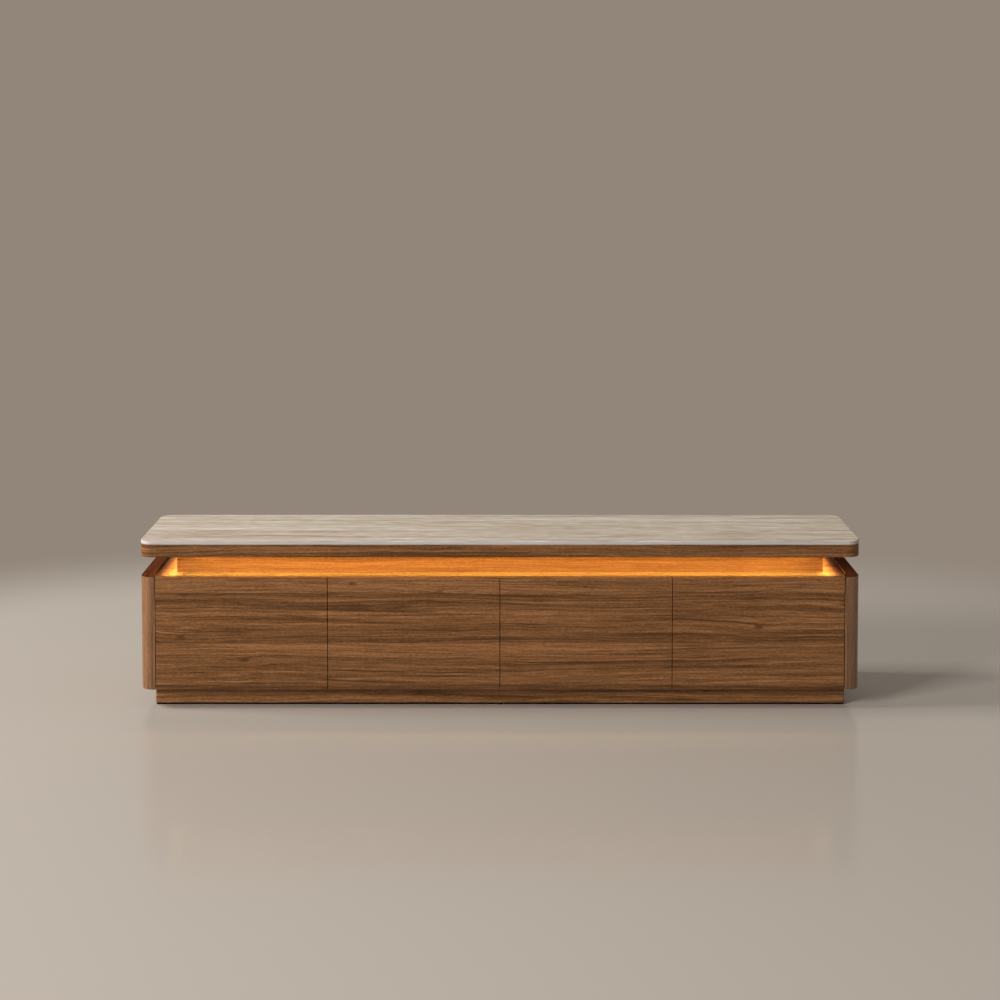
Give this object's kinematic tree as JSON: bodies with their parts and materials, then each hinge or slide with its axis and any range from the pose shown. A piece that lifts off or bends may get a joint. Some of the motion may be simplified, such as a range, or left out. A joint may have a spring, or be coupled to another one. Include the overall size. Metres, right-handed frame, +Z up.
{
  "type": "tv stand",
  "caption": "Long low TV stand: pale stone slab on a walnut board over a lit open gap, walnut body with rounded corners and flush push-to-open drawers on a recessed plinth.",
  "frame": {"origin": "on the floor under the middle of the top", "axes": "+X along the length, to the right seen from the front; +Y to the back; +Z up"},
  "size_m": [2.197, 0.397, 0.5165],
  "materials": {
    "walnut_veneer": "satin lacquer",
    "walnut_back": "matt foil",
    "stone": "honed",
    "drawer_board": "matt lacquer",
    "zinc_steel": "zinc plated",
    "anodised_aluminium": "anodised",
    "opal_cover": "opal",
    "led_tape": "matt",
    "white_plastic": "matt",
    "black_plastic": "matt",
    "cable_sheath": "matt"
  },
  "bodies": {
    "carcass": {"back_panel": "walnut_back", "bottom_panel": "walnut_veneer", "corner_post_front_left": "walnut_veneer", "corner_post_front_right": "walnut_veneer", "corner_post_rear_left": "walnut_veneer", "corner_post_rear_right": "walnut_veneer", "deck_panel": "walnut_veneer", "glide_feet": "black_plastic", "joint_biscuits": "drawer_board", "led_channel_ends": "anodised_aluminium", "led_channel_front": "anodised_aluminium", "led_diffusers": "opal_cover", "led_driver": "white_plastic", "led_inlet": "black_plastic", "led_lead": "cable_sheath", "led_tapes": "led_tape", "partition_centre": "walnut_veneer", "partition_left": "walnut_veneer", "partition_right": "walnut_veneer", "plinth_back": "walnut_veneer", "plinth_base_strips": "black_plastic", "plinth_cross_rails": "drawer_board", "plinth_ends": "walnut_veneer", "plinth_front": "walnut_veneer", "riser_back_panel": "walnut_veneer", "riser_cross_rails": "drawer_board", "riser_end_left": "walnut_veneer", "riser_end_right": "walnut_veneer", "riser_front_panel": "walnut_veneer", "runner_fixed_rails": "zinc_steel", "runner_packers": "drawer_board", "side_panel_left": "walnut_veneer", "side_panel_right": "walnut_veneer", "stone_top": "stone", "top_board": "walnut_veneer"},
    "drawer_1": {"drawer_1_back": "drawer_board", "drawer_1_bottom": "drawer_board", "drawer_1_front": "walnut_veneer", "drawer_1_runner_slides": "zinc_steel", "drawer_1_sides": "drawer_board"},
    "runner_middles_1": {"drawer_1_runner_middles": "zinc_steel"},
    "drawer_2": {"drawer_2_back": "drawer_board", "drawer_2_bottom": "drawer_board", "drawer_2_front": "walnut_veneer", "drawer_2_runner_slides": "zinc_steel", "drawer_2_sides": "drawer_board"},
    "runner_middles_2": {"drawer_2_runner_middles": "zinc_steel"},
    "drawer_3": {"drawer_3_back": "drawer_board", "drawer_3_bottom": "drawer_board", "drawer_3_front": "walnut_veneer", "drawer_3_runner_slides": "zinc_steel", "drawer_3_sides": "drawer_board"},
    "runner_middles_3": {"drawer_3_runner_middles": "zinc_steel"},
    "drawer_4": {"drawer_4_back": "drawer_board", "drawer_4_bottom": "drawer_board", "drawer_4_front": "walnut_veneer", "drawer_4_runner_slides": "zinc_steel", "drawer_4_sides": "drawer_board"},
    "runner_middles_4": {"drawer_4_runner_middles": "zinc_steel"}
  },
  "joints": [
    {"name": "drawer_1_slide", "type": "slide", "parent": "carcass", "child": "drawer_1", "axis": [0, -1, 0], "range_m": [-0.003, 0.3]},
    {"name": "runner_middles_1_slide", "type": "slide", "parent": "carcass", "child": "runner_middles_1", "axis": [0, -1, 0], "range_m": [-0.0015, 0.15]},
    {"name": "drawer_2_slide", "type": "slide", "parent": "carcass", "child": "drawer_2", "axis": [0, -1, 0], "range_m": [-0.003, 0.3]},
    {"name": "runner_middles_2_slide", "type": "slide", "parent": "carcass", "child": "runner_middles_2", "axis": [0, -1, 0], "range_m": [-0.0015, 0.15]},
    {"name": "drawer_3_slide", "type": "slide", "parent": "carcass", "child": "drawer_3", "axis": [0, -1, 0], "range_m": [-0.003, 0.3]},
    {"name": "runner_middles_3_slide", "type": "slide", "parent": "carcass", "child": "runner_middles_3", "axis": [0, -1, 0], "range_m": [-0.0015, 0.15]},
    {"name": "drawer_4_slide", "type": "slide", "parent": "carcass", "child": "drawer_4", "axis": [0, -1, 0], "range_m": [-0.003, 0.3]},
    {"name": "runner_middles_4_slide", "type": "slide", "parent": "carcass", "child": "runner_middles_4", "axis": [0, -1, 0], "range_m": [-0.0015, 0.15]}
  ],
  "couplings": [
    {"joint": "runner_middles_1_slide", "follows": "drawer_1_slide", "ratio": 0.5},
    {"joint": "runner_middles_2_slide", "follows": "drawer_2_slide", "ratio": 0.5},
    {"joint": "runner_middles_3_slide", "follows": "drawer_3_slide", "ratio": 0.5},
    {"joint": "runner_middles_4_slide", "follows": "drawer_4_slide", "ratio": 0.5}
  ]
}
